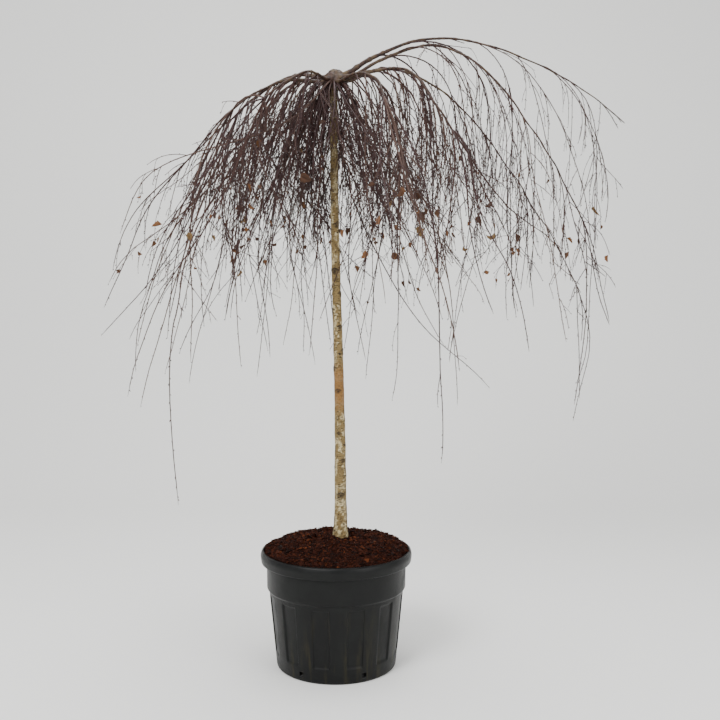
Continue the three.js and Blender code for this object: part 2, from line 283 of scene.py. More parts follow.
def effect(name, inputs, build):
    """A shader node group. inputs maps names to colours or numbers; build returns the outputs by name."""
    tree = bpy.data.node_groups.new(name, "ShaderNodeTree")
    for label, value in inputs.items():
        kind = "NodeSocketColor" if isinstance(value, tuple) else "NodeSocketFloat"
        tree.interface.new_socket(label, in_out="INPUT", socket_type=kind).default_value = value
    graph = Graph(tree)
    made = build(graph, graph.add("NodeGroupInput").outputs)
    for label in made:
        kind = "NodeSocketColor" if label == "Color" else "NodeSocketFloat"
        tree.interface.new_socket(label, in_out="OUTPUT", socket_type=kind)
    end = graph.add("NodeGroupOutput")
    for label, value in made.items():
        graph.set(end.inputs[label], value)
    return tree


def finish(name, group, bump, specular, skin=None, **values):
    """A material: a Principled shader fed by a group's Roughness and Height, and by its Color unless a
    plain skin colour is given. bump is the depth in metres of a full step in Height."""
    material = bpy.data.materials.new(name)
    material.use_nodes = True
    material.node_tree.nodes.clear()
    graph = Graph(material.node_tree)
    source = graph.add("ShaderNodeGroup", node_tree=group)
    for label, value in values.items():
        source.inputs[label].default_value = value
    relief = {"Height": source.outputs["Height"], "Distance": bump, "Strength": 1.0}
    inputs = {
        "Base Color": colour(*skin) if skin else source.outputs["Color"],
        "Roughness": source.outputs["Roughness"],
        "Specular IOR Level": specular,
        "Normal": graph.add("ShaderNodeBump", relief).outputs["Normal"],
    }
    principled = graph.add("ShaderNodeBsdfPrincipled", inputs)
    graph.add("ShaderNodeOutputMaterial", {"Surface": principled.outputs["BSDF"]})
    return material


def colour(red, green, blue):
    """A colour given as it looks, 0 to 255, made linear by the usual screen curve."""
    shares = [value / 255 for value in (red, green, blue)]
    linear = [s / 12.92 if s < 11 / 255 else ((s + 0.055) / 1.055) ** 2.4 for s in shares]
    return (*linear, 1.0)


# heights between which a change in colour comes in: the first is without it, the second has all of it
STAINS = (0.42, 0.02)  # run-down stains on the pot
WARM_FOOT, WARM_TOP = (1.06, 1.14), (1.32, 1.24)  # both ends of the stem's smooth, warm stretch
# the upper stem, under the crown: painted shade darkens it between these heights
CROWN_SHADE_TOP = (1.75, 2.35)  # the stem's upper bark
BLOOM_NEAR = (2.34, 2.5)  # boughs near the graft


def moulded_plastic(graph, given):
    """Black plastic: cloudy dust, stains that ran down the wall, scuffs and a faint orange-peel skin."""
    dust = graph.between(graph.cloud(9, 5, 0.6), 0.45, 0.75)
    streaks = graph.between(graph.cloud(7, 4, 0.6, stretch=(5, 5, 0.35)), 0.5, 0.72)
    low = graph.rise(*STAINS)
    stain = graph.times(streaks, graph.times(low, given["Stained"]))
    scuffs = graph.between(graph.cloud(160, 2, 0.5, stretch=(0.25, 0.25, 1)), 0.64, 0.74)
    dusty = graph.mix(graph.times(dust, given["Dusty"]), given["Plastic"], given["Dust"])
    stained = graph.mix(stain, dusty, given["Stain"])
    scuffed = graph.mix(graph.times(scuffs, 0.25), stained, given["Dust"])
    rough = graph.plus(given["Gloss"], graph.times(dust, 0.2))
    skin = graph.plus(graph.times(graph.cloud(700, 2), 0.3), graph.cloud(45, 3))
    return {"Color": scuffed, "Roughness": rough, "Height": skin}


def loose_bark(graph, given):
    """Moist bark and peat: each crumb a little lighter or darker, fibrous and rough."""
    blotch = graph.cloud(260, 3, 0.6)
    shaded = graph.mix(graph.between(blotch, 0.3, 0.7), given["Dark"], given["Light"])
    fibres = graph.cloud(900, 3, 0.7, stretch=(1, 0.3, 1))
    rough = graph.minus(0.95, graph.times(blotch, 0.2))
    return {"Color": shaded, "Roughness": rough, "Height": fibres}


def birch_bark(graph, given):
    """Young birch bark: cream over tan in curling flakes, dark level fissures, dark scars, a smoother warm
    stretch half way up, and painted shade that darkens it towards the top, under the crown.

    The point masks flake and scar say where the bark has peeled and where a shoot was cut."""
    flake = graph.add("ShaderNodeAttribute", attribute_name="flake").outputs["Fac"]
    scar = graph.add("ShaderNodeAttribute", attribute_name="scar").outputs["Fac"]
    mottle = graph.between(graph.cloud(70, 4, 0.65, stretch=(1, 1, 0.8)), 0.36, 0.64)
    speckle = graph.between(graph.cloud(150, 3, 0.6, stretch=(1, 1, 1.5)), 0.46, 0.62)
    dashes = graph.between(graph.cloud(70, 2, 0.5, stretch=(1, 1, 5.5)), 0.56, 0.64)
    lower, higher = (graph.rise(*end) for end in (WARM_FOOT, WARM_TOP))
    warm = graph.times(graph.times(lower, higher), given["Warmth"])
    rugged = graph.minus(1.0, warm)
    tan = graph.mix(warm, given["Tan"], given["Rust"])
    tan = graph.mix(graph.times(speckle, 0.45), tan, given["Shade"])
    pale = graph.times(graph.times(flake, rugged), graph.plus(0.2, mottle, clamp=True))
    peeled = graph.mix(pale, tan, given["Pale"])
    dashed = graph.mix(graph.times(dashes, graph.plus(0.3, rugged, clamp=True)), peeled, given["Scar"])
    scarred = graph.mix(scar, dashed, given["Scar"])
    # painted shade: under the crown the bark darkens towards the Shade colour, which is also the dark
    # speckle's own colour
    upper = graph.rise(*CROWN_SHADE_TOP)
    crown_shaded = graph.mix(graph.times(upper, given["Crown shade"]), scarred, given["Shade"])
    rough = graph.minus(0.85, graph.times(flake, 0.25))
    relief = graph.plus(graph.times(speckle, -0.6), graph.times(dashes, -0.8))
    return {"Color": crown_shaded, "Roughness": rough, "Height": graph.plus(relief, mottle)}


def young_bark(graph, given):
    """Bark of boughs: brown with a grey-green bloom in patches, thickest near the graft, and pale pores."""
    bloom = graph.between(graph.cloud(26, 4, 0.65), 0.42, 0.68)
    near = graph.rise(*BLOOM_NEAR)
    pores = graph.between(graph.cloud(420, 2, 0.5), 0.68, 0.74)
    brown = graph.mix(graph.between(graph.cloud(90, 3), 0.35, 0.65), given["Dark"], given["Brown"])
    amount = graph.times(bloom, graph.times(near, given["Bloom amount"]))
    bloomed = graph.mix(amount, brown, given["Bloom"])
    pored = graph.mix(graph.times(pores, 0.6), bloomed, given["Pore"])
    rough = graph.plus(0.5, graph.times(bloom, 0.35))
    return {"Color": pored, "Roughness": rough, "Height": graph.plus(graph.cloud(240, 3), pores)}


def thin_skin(graph, given):
    """Twigs, buds and dry leaves: a fine grain, a little rougher where it stands up."""
    grain = graph.cloud(520, 2)
    return {"Roughness": graph.plus(given["Matt"], graph.times(grain, 0.2)), "Height": grain}


PLASTIC = effect("moulded plastic", {
    "Plastic": colour(7, 8, 8), "Dust": colour(25, 28, 26), "Stain": colour(38, 35, 20),
    "Dusty": 0.4, "Stained": 0.85, "Gloss": 0.4,
}, moulded_plastic)
CRUMB = effect("loose bark", {"Dark": colour(18, 6, 3), "Light": colour(38, 15, 7)}, loose_bark)
BARK = effect("birch bark", {
    "Tan": colour(124, 104, 66), "Pale": colour(190, 175, 134), "Rust": colour(134, 96, 52),
    # the last value below is painted shade: how far the top of the stem darkens under the crown
    "Shade": colour(74, 60, 38), "Scar": colour(34, 25, 17), "Warmth": 0.9, "Crown shade": 0.65,
}, birch_bark)
LIMB = effect("young bark", {
    "Brown": colour(60, 38, 28), "Dark": colour(30, 17, 14), "Bloom": colour(100, 86, 64),
    "Pore": colour(90, 72, 56), "Bloom amount": 0.6,
}, young_bark)
SKIN = effect("thin skin", {"Matt": 0.45}, thin_skin)


def small_finishes(kind, group, bump, specular, skins):
    """A finish of one plain colour for each of skins: its name, its colour and the group's own values."""
    return [finish(f"{kind} {name}", group, bump, specular, skin, **values) for name, skin, values in skins]


POT_FINISH = finish("pot plastic", PLASTIC, 0.0005, 0.2)
SOIL_FINISH = finish("soil crumbs", CRUMB, 0.001, 0.1)
CHIP_FINISHES = small_finishes("bark chip", CRUMB, 0.0006, 0.1, [
    ("red", (52, 22, 10), {}),
    ("brown", (40, 15, 7), {}),
    ("dark", (20, 7, 4), {}),
    ("rust", (74, 36, 16), {}),
])
STEM_FINISH = finish("stem bark", BARK, 0.0012, 0.3)
LIMB_FINISH = finish("bough bark", LIMB, 0.0008, 0.3)
TWIG_FINISHES = small_finishes("twig", SKIN, 0.0002, 0.3, [
    ("purple", (45, 22, 21), {"Matt": 0.45}),
    ("brown", (52, 29, 23), {"Matt": 0.5}),
    ("grey", (70, 50, 42), {"Matt": 0.55}),
])
BUD_FINISHES = small_finishes("bud", SKIN, 0.0002, 0.3, [
    ("dark", (32, 14, 11), {"Matt": 0.4}),
    ("brown", (58, 30, 18), {"Matt": 0.45}),
])
LEAF_FINISHES = small_finishes("leaf", SKIN, 0.0004, 0.3, [
    ("brown", (84, 54, 32), {"Matt": 0.6}),
    ("rust", (106, 70, 42), {"Matt": 0.6}),
    ("dark", (62, 38, 22), {"Matt": 0.6}),
    ("olive", (106, 82, 50), {"Matt": 0.6}),
])
FLOOR_FINISH = finish("studio paper", SKIN, 0.0, 0.3, (236, 236, 234), Matt=0.85)


# ---- pot ----
POT_RADIUS = (POT_HIGH[0] - POT_LOW[0]) / 2
RIM_TOP = POT_HIGH[2]
WALL_FOOT = 0.256  # radius at the floor
WALL_TOP = 0.289  # radius under the collar
COLLAR = 0.299  # radius of the plain band under the rim
COLLAR_FOOT = 0.338
RIM_FOOT = RIM_TOP - 0.052
RIM_INSIDE = POT_RADIUS - 0.016
FOOT_RING = 0.050  # width of the ring that the pot stands on
FOOT_HOLLOW = 0.004  # how far its underside is raised inside that ring
INNER_FLOOR = RIM_TOP - 0.075  # where the inside is closed, under the soil
AXIS_GAP = 0.01  # radius of the rings nearest the axis
PANELS = 12
PANEL_TURN = np.radians(10.5)  # to the first edge of a recessed panel
PANEL_DEPTH = 0.005
PANEL_LOW, PANEL_HIGH = 0.062, 0.318
PANEL_FADE = 0.012
PANEL_BEVEL = np.radians(0.7)
DRAINS = 6
DRAIN_TURN = np.radians(-2.4)
DRAIN_LOW, DRAIN_HIGH = 0.020, 0.042
DRAIN_WIDTH = 0.020
DRAIN_DEPTH = 0.016
DRAIN_HALF = DRAIN_WIDTH / WALL_FOOT / 2
DRAIN_BEVEL = np.radians(0.35)
DRAIN_FADE = 0.0015


def rounded(outline, steps):
    """A line through [across, up, rounding] corners. Each corner is cut back by its rounding along both
    sides, and the cut is a quadratic curve with the corner as its control point."""
    outline = np.array(outline, float)
    line = [outline[0, :2]]
    for before, here, after in zip(outline[:-2], outline[1:-1], outline[2:]):
        if here[2] == 0:
            line.append(here[:2])
            continue
        enter = here[:2] + unit(before[:2] - here[:2]) * here[2]
        leave = here[:2] + unit(after[:2] - here[:2]) * here[2]
        t = np.linspace(0, 1, steps)[:, None]
        line.extend((1 - t) ** 2 * enter + 2 * t * (1 - t) * here[:2] + t**2 * leave)
    line.append(outline[-1, :2])
    return np.array(line)


def fill_line(line, longest):
    """The same line with extra points, so that no step is longer than `longest`."""
    parts = []
    for start, end in zip(line[:-1], line[1:]):
        count = max(1, math.ceil(np.linalg.norm(end - start) / longest))
        parts.append(start + (end - start) * np.arange(count)[:, None] / count)
    return np.vstack(parts + [line[-1:]])


def wall_radius(z):
    """The wall leans out evenly from its foot to the collar."""
    return WALL_FOOT + (WALL_TOP - WALL_FOOT) * z / COLLAR_FOOT


def pot_columns():
    """Angles round the pot, close together at the edges of panels and drain holes and even between."""
    pitch = 2 * np.pi / PANELS
    starts = PANEL_TURN + pitch * np.arange(PANELS)
    edges = np.concatenate([starts, starts + pitch / 2 - PANEL_BEVEL])
    drains = DRAIN_TURN + 2 * np.pi * np.arange(DRAINS) / DRAINS
    holes = np.concatenate([drains - DRAIN_HALF, drains + DRAIN_HALF - DRAIN_BEVEL])
    fine = (edges[:, None] + PANEL_BEVEL * np.linspace(0, 1, 4)).ravel()
    finer = (holes[:, None] + DRAIN_BEVEL * np.linspace(0, 1, 3)).ravel()
    even = np.linspace(0, 2 * np.pi, 240, endpoint=False)
    turn = np.unique(np.round(np.concatenate([fine, finer, even]) % (2 * np.pi), 5))
    return turn[np.diff(turn, append=turn[0] + 2 * np.pi) > 0.0008]


def make_pot():
    """A profile turned about Z, closed at the axis. The wall steps in by PANEL_DEPTH inside the panels and
    by DRAIN_DEPTH at each drain hole, and all of it wavers by under a millimetre, as a thin moulding does."""
    steps = [DRAIN_LOW, DRAIN_LOW + DRAIN_FADE, DRAIN_HIGH - DRAIN_FADE, DRAIN_HIGH]
    steps += [PANEL_LOW + PANEL_FADE * share for share in (0, 0.25, 0.5, 0.75, 1)]
    steps += [PANEL_HIGH - PANEL_FADE * share for share in (1, 0.75, 0.5, 0.25, 0)]
    outline = [
        [AXIS_GAP, FOOT_HOLLOW, 0],
        [WALL_FOOT - FOOT_RING, FOOT_HOLLOW, 0.003],
        [WALL_FOOT - FOOT_RING + 0.005, 0, 0.003],
        [WALL_FOOT, 0, 0.011],
        *[[wall_radius(z), z, 0] for z in steps],
        [wall_radius(COLLAR_FOOT - 0.008), COLLAR_FOOT - 0.008, 0.003],
        [COLLAR - 0.0015, COLLAR_FOOT + 0.002, 0.004],
        [COLLAR, RIM_FOOT, 0.004],
        [POT_RADIUS - 0.004, RIM_FOOT + 0.001, 0.005],
        [POT_RADIUS, RIM_TOP - 0.020, 0.008],
        [POT_RADIUS - 0.006, RIM_TOP, 0.008],
        [RIM_INSIDE + 0.001, RIM_TOP, 0.005],
        [RIM_INSIDE - 0.004, RIM_TOP - 0.030, 0.008],
        [COLLAR - 0.012, INNER_FLOOR, 0.003],
        [AXIS_GAP, INNER_FLOOR, 0],
    ]
    line = fill_line(rounded(outline, 7), 0.0065)
    turn = pot_columns()
    across, z = line[:, 0][:, None], line[:, 1][:, None]
    local = (turn - PANEL_TURN) % (2 * np.pi / PANELS)
    panel = pulse(local, 0, np.pi / PANELS, PANEL_BEVEL) * pulse(z, PANEL_LOW, PANEL_HIGH, PANEL_FADE)
    beside = (turn - DRAIN_TURN + np.pi / DRAINS) % (2 * np.pi / DRAINS) - np.pi / DRAINS
    drain = pulse(beside, -DRAIN_HALF, DRAIN_HALF, DRAIN_BEVEL) * pulse(z, DRAIN_LOW, DRAIN_HIGH, DRAIN_FADE)
    radius = across - PANEL_DEPTH * panel - DRAIN_DEPTH * drain
    points = np.stack([radius * np.cos(turn), radius * np.sin(turn), z + 0 * turn], axis=-1)
    waver = 0.0007 * noise(points, 0.11, SEED) * smooth(z / 0.1) * (across < POT_RADIUS - 0.002)
    points[..., :2] *= (1 + waver / np.maximum(radius, 0.05))[..., None]
    points, faces = closed_rows(points, [0, 0, line[0, 1]], [0, 0, line[-1, 1]])
    make_piece("nursery_pot", points, faces, [POT_FINISH], ["pot"])


# ---- limbs of the frame ----
def solid_points(node):
    """A solid's corners, each once."""
    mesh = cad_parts[node].data
    flat = np.empty(3 * len(mesh.vertices))
    mesh.vertices.foreach_get("co", flat)
    return np.unique(np.round(flat.reshape(-1, 3), 5), axis=0)


def soften(values, reach):
    """A running mean over `reach` places to each side, straight on past both ends."""
    before = 2 * values[:1] - values[reach:0:-1]
    after = 2 * values[-1:] - values[-2 : -reach - 2 : -1]
    total = np.cumsum(np.concatenate([values[:1] * 0, before, values, after]), axis=0)
    width = 2 * reach + 1
    return (total[width:] - total[:-width]) / width


def resample(path, radius, count):
    """The path and its radius at `count` places an even distance apart."""
    length = np.concatenate([[0], np.cumsum(np.linalg.norm(np.diff(path, axis=0), axis=1))])
    at = np.linspace(0, length[-1], count)
    middle = np.stack([np.interp(at, length, path[:, k]) for k in range(3)], axis=-1)
    return middle, np.interp(at, length, radius)


def half_bough(node, samples=400):
    """The middle and radius of a rising or falling half: polynomials in the plan distance from the head,
    fitted to the solid's corners and to their distances from the middle."""
    points = solid_points(node)
    away = np.hypot(points[:, 0] - HEAD[0], points[:, 1] - HEAD[1])
    scaled = 2 * (away - away.min()) / np.ptp(away) - 1
    at = np.linspace(-1, 1, samples)
    middle = np.stack([np.polyval(np.polyfit(scaled, points[:, k], 4), at) for k in range(3)], axis=-1)
    distance = np.linalg.norm(points[:, None] - middle, axis=-1).min(axis=1)
    return middle, np.polyval(np.polyfit(scaled, distance, 2), at)


BOUGH_WAVER = np.array([0.010, 0.010, 0.003])  # how far boughs stray along each axis


def bough_line(number, samples=64):
    """Both halves of a bough as one line from inside the head, with a slight waver from side to side."""
    rise, thick = half_bough(f"bough_{number:02d}_rise")
    fall, thin = half_bough(f"bough_{number:02d}_fall")
    root = HEAD + (rise[0] - HEAD) * 0.2
    radius = np.concatenate([thick[:1], thick, thin])
    path, radius = resample(np.vstack([root, rise, fall]), radius, samples)
    path = soften(path, 2)
    free = (smooth(np.linspace(0, 4, samples)) * smooth(np.linspace(5, 0, samples)))[:, None]
    waver = np.stack([noise(path, 0.10, SEED + 40 + k) for k in range(3)], axis=-1)
    return path + free * waver * BOUGH_WAVER, soften(radius, 2)


BOUGHS = [bough_line(number) for number in range(1, 1 + sum(name.endswith("_fall") for name in NODES))]


def stem_line(samples, below, above):
    """The stem's middle and radius from its solid's level rings, carried on into the soil and the head."""
    points = solid_points("stem")
    levels = np.unique(np.round(points[:, 2], 4))
    rows = [points[np.abs(points[:, 2] - level) < 0.0002] for level in levels]
    middle = np.array([row.mean(axis=0) for row in rows])
    radius = np.array([np.linalg.norm(row - row.mean(axis=0), axis=1).max() for row in rows])
    z = np.linspace(levels[0] - below, levels[-1] + above, samples)
    x, y = (soften(np.interp(z, levels, middle[:, k]), samples // 24) for k in range(2))
    return np.stack([x, y, z], axis=-1), soften(np.interp(z, levels, radius), samples // 120)


STEM_ROWS, STEM_BELOW, STEM_ABOVE = 540, 0.014, 0.03
STEM_MIDDLE, STEM_RADIUS = stem_line(STEM_ROWS, STEM_BELOW, STEM_ABOVE)
STEM_FOOT = STEM_MIDDLE[0]


# ---- soil ----
MOUND_REACH = RIM_INSIDE - 0.002
MOUND_EDGE = RIM_TOP - 0.004
MOUND_TOP = SOIL_HIGH[2] - 0.003
MOUND_FULLNESS = 0.6
SKIRT_FOOT = RIM_TOP - 0.04
SKIRT_REACH = COLLAR - 0.02
CHIPS = 17000
CHIP_SIZE, CHIP_SPREAD = 0.0036, 0.45  # middle size, and how widely sizes vary
CHIP_LEAST, CHIP_MOST = 0.0014, 0.011
CHIP_SHARES = [0.28, 0.4, 0.26, 0.06]  # of each finish


def mound_height(x, y):
    """Soil heaped from the rim to the stem: a quarter sine wave from edge to middle, made fuller by a power
    under 1, with lumps."""
    reach = np.clip(np.hypot(x, y) / MOUND_REACH, 0, 1)
    heap = MOUND_EDGE + (MOUND_TOP - MOUND_EDGE) * np.sin((1 - reach) * np.pi / 2) ** MOUND_FULLNESS
    places = np.stack([x, y, 0 * x], axis=-1)
    lumps = 0.007 * noise(places, 0.06, SEED + 1) + 0.004 * noise(places, 0.02, SEED + 2)
    return heap + lumps * smooth(reach * 5)


def make_soil():
    """The mound's height carried round, with a skirt down inside the rim and a flat base under it."""
    reach = np.linspace(0, 1, 76) * MOUND_REACH
    turn = np.linspace(0, 2 * np.pi, 220, endpoint=False)
    x = reach[1:, None] * np.cos(turn)
    y = reach[1:, None] * np.sin(turn)
    top = np.stack([x, y, mound_height(x, y)], axis=-1)
    tuck = SKIRT_REACH / MOUND_REACH
    skirt = top[-1:] * np.array([tuck, tuck, 0]) + SKIRT_FOOT * UP
    rows = np.concatenate([top, skirt])[::-1]
    crest = mound_height(np.zeros(1), np.zeros(1))[0]
    points, faces = closed_rows(rows, SKIRT_FOOT * UP, crest * UP)
    make_piece("soil_mound", points, faces, [SOIL_FINISH], ["soil"])


def turned(points, angle, axis):
    """Each group of points turned about an axis (0, 1 or 2) by its own angle."""
    a, b = [(1, 2), (2, 0), (0, 1)][axis]
    cos, sin = np.cos(angle)[:, None], np.sin(angle)[:, None]
    result = points.copy()
    result[..., a] = points[..., a] * cos - points[..., b] * sin
    result[..., b] = points[..., a] * sin + points[..., b] * cos
    return result


def make_chips():
    """Bark chips strewn on the mound: eight-faced slivers of many sizes, nearly flat to the slope."""
    rng = np.random.default_rng(SEED + 3)
    tips = np.array([[1, 0, 0], [-1, 0, 0], [0, 1, 0], [0, -1, 0], [0, 0, 1], [0, 0, -1]], float)
    sides = np.array([(0, 2, 4), (2, 1, 4), (1, 3, 4), (3, 0, 4), (2, 0, 5), (1, 2, 5), (3, 1, 5), (0, 3, 5)])
    reach = MOUND_REACH * np.sqrt(rng.random(CHIPS))
    turn = rng.random(CHIPS) * 2 * np.pi
    x, y = reach * np.cos(turn), reach * np.sin(turn)
    clear = np.hypot(x - STEM_FOOT[0], y - STEM_FOOT[1]) > STEM_RADIUS[0]
    x, y = x[clear], y[clear]
    count = len(x)
    size = np.exp(rng.normal(math.log(CHIP_SIZE), CHIP_SPREAD, count)).clip(CHIP_LEAST, CHIP_MOST)
    length_width_height = [rng.uniform(*limits, count) for limits in ((0.9, 1.8), (0.6, 1.0), (0.3, 0.7))]
    shape = np.stack(length_width_height, axis=-1)
    jitter = np.clip(1 + 0.35 * rng.normal(size=(count, len(tips), 1)), 0.4, 1.7)
    local = tips * (size[:, None] * shape)[:, None] * jitter
    spin, roll, pitch = rng.random(count) * 2 * np.pi, rng.normal(0, 0.4, count), rng.normal(0, 0.4, count)
    for axis, angle in ((2, spin), (0, roll), (1, pitch)):
        local = turned(local, angle, axis)
    middle = np.stack([x, y, mound_height(x, y) + size * rng.uniform(-0.3, 0.5, count)], axis=-1)
    points = (local + middle[:, None]).reshape(-1, 3)
    faces = repeated(sides, len(tips), count)
    tint = np.repeat(rng.choice(len(CHIP_FINISHES), count, p=CHIP_SHARES), len(sides))
    make_piece("bark_chips", points, [faces], CHIP_FINISHES, tints=tint, flat=True)


# ---- stem ----
SCARS = 34
SCAR_SIZES = (0.005, 0.010)
SCAR_TURN = 2.4  # from each scar to the next one up
SCAR_FIRST, SCAR_LAST = 0.05, 0.03  # left free of them at the stem's foot and at its top


def make_stem():
    """Rings up the stem with its bark's relief: long waves, warts at the foot, peeling flakes that stand
    proud, and a ridged eye with a raised brow at every place where a shoot was cut away."""
    rng = np.random.default_rng(SEED + 4)
    columns = 56
    turn = 2 * np.pi * np.arange(columns) / columns
    out = direction(turn)
    points = STEM_MIDDLE[:, None] + STEM_RADIUS[:, None, None] * out
    squeezed = points * np.array([1, 1, 0.45])
    flake = smooth((noise(squeezed, 0.015, SEED + 5) + 0.7 * noise(points, 0.006, SEED + 6) - 0.05) / 0.35)
    order = np.arange(SCARS)
    scarred = STEM_HIGH[2] - STEM_LOW[2] - (SCAR_FIRST + SCAR_LAST)
    eye_z = STEM_LOW[2] + SCAR_FIRST + scarred * (order + rng.random(SCARS)) / SCARS
    eye_turn = SCAR_TURN * order + rng.normal(0, 0.4, SCARS)
    eye_size = rng.uniform(*SCAR_SIZES, SCARS)
    around = (turn - eye_turn[:, None] + np.pi) % (2 * np.pi) - np.pi
    across = (around[:, None] * STEM_RADIUS[None, :, None]) / eye_size[:, None, None]
    up = (STEM_MIDDLE[None, :, 2, None] - eye_z[:, None, None]) / eye_size[:, None, None]
    far = across**2 + up**2
    ring = np.exp(-((np.sqrt(far) - 1) ** 2) / 0.18)
    hollow = np.exp(-far / 0.5)
    brow = np.exp(-((up - 1.6 + 0.55 * np.abs(across)) ** 2) / 0.12) * smooth(2.6 - np.abs(across))
    scar = np.clip(hollow + 0.9 * brow + 0.35 * ring, 0, 1).max(axis=0)
    eyes = (ring + 0.7 * brow - 0.6 * hollow) * eye_size[:, None, None] * 0.22
    foot = smooth((STEM_LOW[2] + 0.12 - points[..., 2]) / 0.12)
    warts = foot * np.maximum(noise(points, 0.011, SEED + 7), 0)
    relief = 0.0011 * noise(points, 0.045, SEED + 8) + 0.0006 * noise(squeezed, 0.009, SEED + 9)
    relief += 0.0005 * flake + 0.003 * warts + eyes.sum(axis=0)
    points = points + relief[..., None] * out
    points, faces = closed_rows(points, STEM_MIDDLE[0], STEM_MIDDLE[-1] + 0.004 * UP)
    masks = {"flake": np.append(flake.ravel(), [0, 0]), "scar": np.append(scar.ravel(), [0, 0])}
    make_piece("stem_bark", points, faces, [STEM_FINISH], ["stem"], masks=masks)


HEAD_SHARE = np.array([0.74, 0.74, 0.92])  # of its box, before the lobes swell it out
LOBE_JOINT = 6  # each lobe points to this joint of its bough
LOBE_SWELL, LOBE_SHARPNESS = 0.42, 14


def make_head():
    """The swollen graft: an upright egg, with a rounded lobe pushed out towards each bough and lumpy bark."""
    rows, columns = 60, 84
    lift = np.linspace(-1, 1, rows + 2)[1:-1, None] * np.pi / 2
    turn = 2 * np.pi * np.arange(columns) / columns
    out = direction(turn, lift)
    half = (HEAD_HIGH - HEAD_LOW) / 2 * HEAD_SHARE
    toward = unit(np.array([path[LOBE_JOINT] - HEAD for path, _ in BOUGHS]))
    lobes = np.maximum(out @ toward.T, 0) ** LOBE_SHARPNESS
    swell = 1 + LOBE_SWELL * lobes.max(axis=-1)
    lumps = 0.12 * noise(out, 0.55, SEED + 10) + 0.06 * noise(out, 0.2, SEED + 11)
    points = HEAD + out * half * (swell + lumps)[..., None]
    points, faces = closed_rows(points, HEAD - half * UP, HEAD + half * UP)
    make_piece("graft_knuckle", points, faces, [LIMB_FINISH], ["graft_head"])


# ---- shoots ----
DOME_FOOT, DOME_TOP = 1.05, 2.43  # heights between which the crown is the upper half of an egg
DOME_REACH = 1.045
DOME_EDGE, DOME_BLUR = 0.97, 0.08  # share of the egg at which it is first felt, and over which it sets in
CURL, CURL_UPRIGHT = 0.6, 0.35  # how strongly shoots curl to one side, and the share of it up or down
HANG = 2.2  # how many times as fast again a shoot sinks at its tip
PRESS = 6.0  # the same outside the dome
TURN_IN = 0.8  # how fast a shoot turns inwards there
DRIFT_KEPT, DRIFT_NEW = 0.75, 0.66  # a step's drift is so much of the last step's and so much of a new one
ROOM = 0.012  # left between shoots and the sides of the box of the frame's solids
TIP_ROOM = 0.011  # a shoot whose tip has less than this is left out
SHORTEST = 0.02  # shoots under this length are left out
OUTER_FALL = 0.9  # how much lower shoots end for each DOME_REACH further out
LONG_FALL = 0.95  # the same for the long ones
LONG_FOOT, LONG_SHIFT = 1.72, 0.4  # the lowest end of the long ones that start so far inside MIDDLE_REACH
LONG_DROP = 0.1  # long ones end at least this far under the others' middle
MIDDLE_REACH = 0.6  # share of DOME_REACH whose shoots end at their habit's own height
SLOT_FRONT, SLOT_TOP, SLOT_HALF = -0.05, 2.16, 0.026  # the clear slot in front of the stem
SLOT_SLANT = 0.027  # it leans this much to +X for each metre towards the front
LEVEL_SPREAD, SIDE_SPREAD = 0.05, 0.45  # how far side shoots stray from leaving their parent level
ANGLE_SPREAD, ANGLE_LEAST, ANGLE_MOST = 0.16, 0.15, 1.4
TAPER_POWER = 1.15
TIP_CLOSED = 0.3  # radius of the very end against the tip's

SHOOTS = {
    "spacing": 0.036,  # from one to the next along a bough, in metres
    "span": (0.08, 0.99),  # the stretch of the bough that bears them, in shares of its length
    "angle": 0.45,  # from the bough's own heading
    "lift": -0.1,  # added to their headings, upwards
    "outer": 0.35,  # how much shorter they are at a bough's tip than at its base
    "reach": (0.3, 1.04, 0.35),  # shortest and longest share of the bough's own reach, and their crowding
    "length": (1.6, 0.33, 0.4, 2.6),  # middle, spread, shortest, longest
    "droop": (0.75, 1.7),  # how fast they sink, least and most
    "wander": 1.0,  # how much they drift
    "joints": 26,
    "floor": (2.13, 0.19, 0.30),  # the height they end at: middle, spread, and the share of long ones
    "spare": 0.1,  # the share that may cross the slot in front of the stem
    "share": 0.5,  # their thickness against the bough's
    "thick": (0.0019, 0.0040),  # their least and greatest radius at the base
    "tip": 0.0015,
    "sides": 6,
}
TWIGS = {
    "spacing": 0.082, "span": (0.06, 0.86), "angle": 0.62, "lift": 0.0, "outer": 0.35,
    "reach": (0.9, 1.03, 1.0), "length": (0.22, 0.45, 0.07, 0.8), "droop": (0.3, 3.4), "wander": 2.2,
    "joints": 15, "floor": (2.14, 0.16, 0.22), "spare": 0.15,
    "share": 0.7, "thick": (0.0014, 0.0019), "tip": 0.0011, "sides": 4,
}
SPRIGS = {
    "spacing": 0.12, "span": (0.15, 0.95), "angle": 0.75, "lift": 0.0, "outer": 0.2,
    "reach": (0.9, 1.03, 1.0), "length": (0.075, 0.4, 0.03, 0.25), "droop": (2.0, 9.0), "wander": 1.6,
    "joints": 7, "floor": (1.95, 0.15, 0.3), "spare": 0.3,
    "share": 0.8, "thick": (0.0011, 0.0014), "tip": 0.0009, "sides": 3,
}
LEADING = SHOOTS | {"droop": (0.65, 1.4), "length": (1.5, 0.3, 0.5, 2.4), "floor": (1.9, 0.25, 0.55)}
LOOSE = SHOOTS | {
    "spacing": 0.095, "span": (0.12, 0.97), "angle": 0.38, "lift": 0.0, "reach": (0.86, 1.1, 1.0),
    "length": (1.15, 0.4, 0.3, 2.0), "droop": (0.5, 1.2), "wander": 0.9, "floor": (2.0, 0.25, 0.35),
}
LEADERS = 5  # shoots that carry each bough on from its end
LEADER_SPREAD = 0.38
HEAD_SHOOTS = 60  # shoots that leave the graft itself
HEAD_LENGTH = 0.8  # how long these are against the others
HEAD_LIFT = (-0.7, 0.1)
HEAD_THICK = (0.0022, 0.0045)
HEAD_START = 0.02  # from the graft's middle
